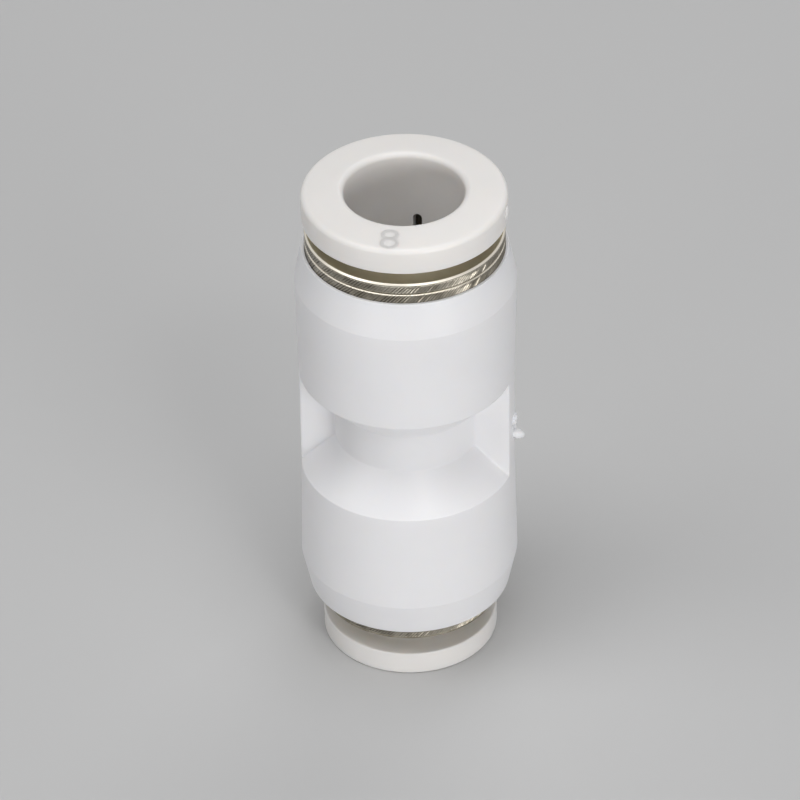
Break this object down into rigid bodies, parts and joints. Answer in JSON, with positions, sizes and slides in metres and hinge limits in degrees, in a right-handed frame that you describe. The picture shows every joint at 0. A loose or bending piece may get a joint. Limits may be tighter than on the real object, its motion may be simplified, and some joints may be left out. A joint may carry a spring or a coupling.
{
  "type": "push fit coupling",
  "caption": "Straight push fit coupling that joins an 8 mm tube to a 6 mm tube, with sliding release sleeves and knurled collars.",
  "frame": {"origin": "middle of the coupling's overall box, on the bore axis at mid-length of the body", "axes": "+Z along the bore towards the 8 mm port; X along the flat web, with the gate stub on +X; Y through the two pockets"},
  "size_m": [0.0156, 0.0152, 0.0373],
  "materials": {
    "body_plastic": "white moulded thermoplastic, semi-gloss",
    "sleeve_plastic": "slightly warm white acetal, semi-gloss",
    "nickel_plate": "nickel-plated brass, diagonal knurl, flat end turned",
    "spring_steel": "stamped stainless spring steel",
    "ring_plastic": "natural acetal, matte",
    "nitrile_rubber": "black nitrile rubber"
  },
  "bodies": {
    "coupling_body": {"body": "body_plastic", "guide_collar_8mm": "nickel_plate", "guide_collar_6mm": "nickel_plate", "lock_claw_8mm": "spring_steel", "lock_claw_6mm": "spring_steel", "backing_ring_8mm": "ring_plastic", "backing_ring_6mm": "ring_plastic", "o_ring_8mm": "nitrile_rubber", "o_ring_6mm": "nitrile_rubber"},
    "upper_sleeve": {"release_sleeve_8mm": "sleeve_plastic"},
    "lower_sleeve": {"release_sleeve_6mm": "sleeve_plastic"}
  },
  "joints": [
    {"name": "upper_sleeve_press", "type": "slide", "parent": "coupling_body", "child": "upper_sleeve", "axis": [0, 0, -1], "range_m": [0, 0.00095], "stiffness_N_per_m": 5000, "deforming": ["lock_claw_8mm"]},
    {"name": "lower_sleeve_press", "type": "slide", "parent": "coupling_body", "child": "lower_sleeve", "axis": [0, 0, 1], "range_m": [0, 0.00133], "stiffness_N_per_m": 5000, "deforming": ["lock_claw_6mm"]}
  ]
}
